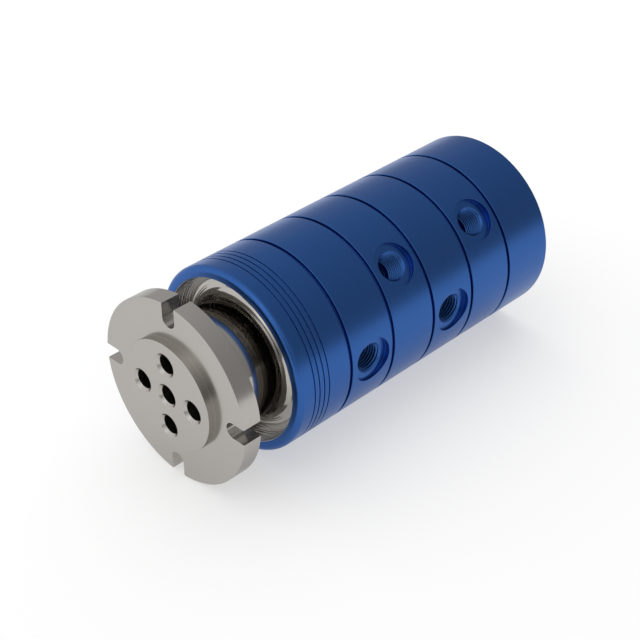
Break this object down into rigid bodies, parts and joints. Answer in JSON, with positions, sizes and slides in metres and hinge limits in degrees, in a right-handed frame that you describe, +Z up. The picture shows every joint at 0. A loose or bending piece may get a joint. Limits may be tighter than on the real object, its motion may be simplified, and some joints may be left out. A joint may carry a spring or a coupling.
{
  "type": "hydraulic rotary union",
  "caption": "Flanged hydraulic rotary union: a hollow steel rotor turns inside a stacked blue housing with threaded side ports and an axial rear port.",
  "frame": {"origin": "centre of the flange's mounting face, on the rotor's axis", "axes": "+Y along the rotor's axis into the housing, +X towards the first side port, +Z up"},
  "size_m": [0.084, 0.1916, 0.084],
  "materials": {
    "housing_blue": "satin blue anodised, fine turned grain",
    "rotor_steel": "fine turned steel, polished at the neck",
    "bearing_steel": "ground and polished bearing steel",
    "cage_steel": "pressed steel, plain",
    "seal_ptfe": "bronze filled PTFE",
    "seal_rubber": "black nitrile rubber",
    "screw_steel": "black oxide alloy steel",
    "spring_steel": "phosphated spring steel",
    "cover_blue": "satin blue anodised, turned"
  },
  "bodies": {
    "rotor_body": {"rotor": "rotor_steel", "front_bearing_inner_ring": "bearing_steel", "rear_bearing_inner_ring": "bearing_steel", "rotor_circlip": "spring_steel"},
    "housing_body": {"front_housing": "housing_blue", "port_ring_1": "housing_blue", "port_ring_2": "housing_blue", "port_ring_3": "housing_blue", "port_ring_4": "housing_blue", "rear_housing": "housing_blue", "rear_cover": "cover_blue", "cover_circlip": "spring_steel", "cover_o_ring": "seal_rubber", "cover_dowel": "bearing_steel", "tie_bolts": "screw_steel", "rotary_seal_1": "seal_ptfe", "seal_energiser_1": "seal_rubber", "module_o_ring_1": "seal_rubber", "rotary_seal_2": "seal_ptfe", "seal_energiser_2": "seal_rubber", "module_o_ring_2": "seal_rubber", "rotary_seal_3": "seal_ptfe", "seal_energiser_3": "seal_rubber", "module_o_ring_3": "seal_rubber", "rotary_seal_4": "seal_ptfe", "seal_energiser_4": "seal_rubber", "module_o_ring_4": "seal_rubber", "rotary_seal_5": "seal_ptfe", "seal_energiser_5": "seal_rubber", "module_o_ring_5": "seal_rubber", "shaft_seal_case": "bearing_steel", "shaft_seal_lip": "seal_rubber", "garter_spring": "spring_steel", "quill_seal": "seal_ptfe", "quill_energiser": "seal_rubber", "front_bearing_outer_ring": "bearing_steel", "front_bearing_shields": "cage_steel", "rear_bearing_outer_ring": "bearing_steel", "rear_bearing_shields": "cage_steel"},
    "front_ball_set": {"front_bearing_balls": "bearing_steel", "front_bearing_cage": "cage_steel"},
    "rear_ball_set": {"rear_bearing_balls": "bearing_steel", "rear_bearing_cage": "cage_steel"}
  },
  "joints": [
    {"name": "housing_turn", "type": "hinge", "parent": "rotor_body", "child": "housing_body", "pos_m": [0, 0, 0], "axis": [0, 1, 0], "continuous": true},
    {"name": "front_balls_turn", "type": "hinge", "parent": "rotor_body", "child": "front_ball_set", "pos_m": [0, 0, 0], "axis": [0, 1, 0], "continuous": true},
    {"name": "rear_balls_turn", "type": "hinge", "parent": "rotor_body", "child": "rear_ball_set", "pos_m": [0, 0, 0], "axis": [0, 1, 0], "continuous": true}
  ],
  "couplings": [
    {"joint": "front_balls_turn", "follows": "housing_turn", "ratio": 0.5385},
    {"joint": "rear_balls_turn", "follows": "housing_turn", "ratio": 0.5436}
  ]
}
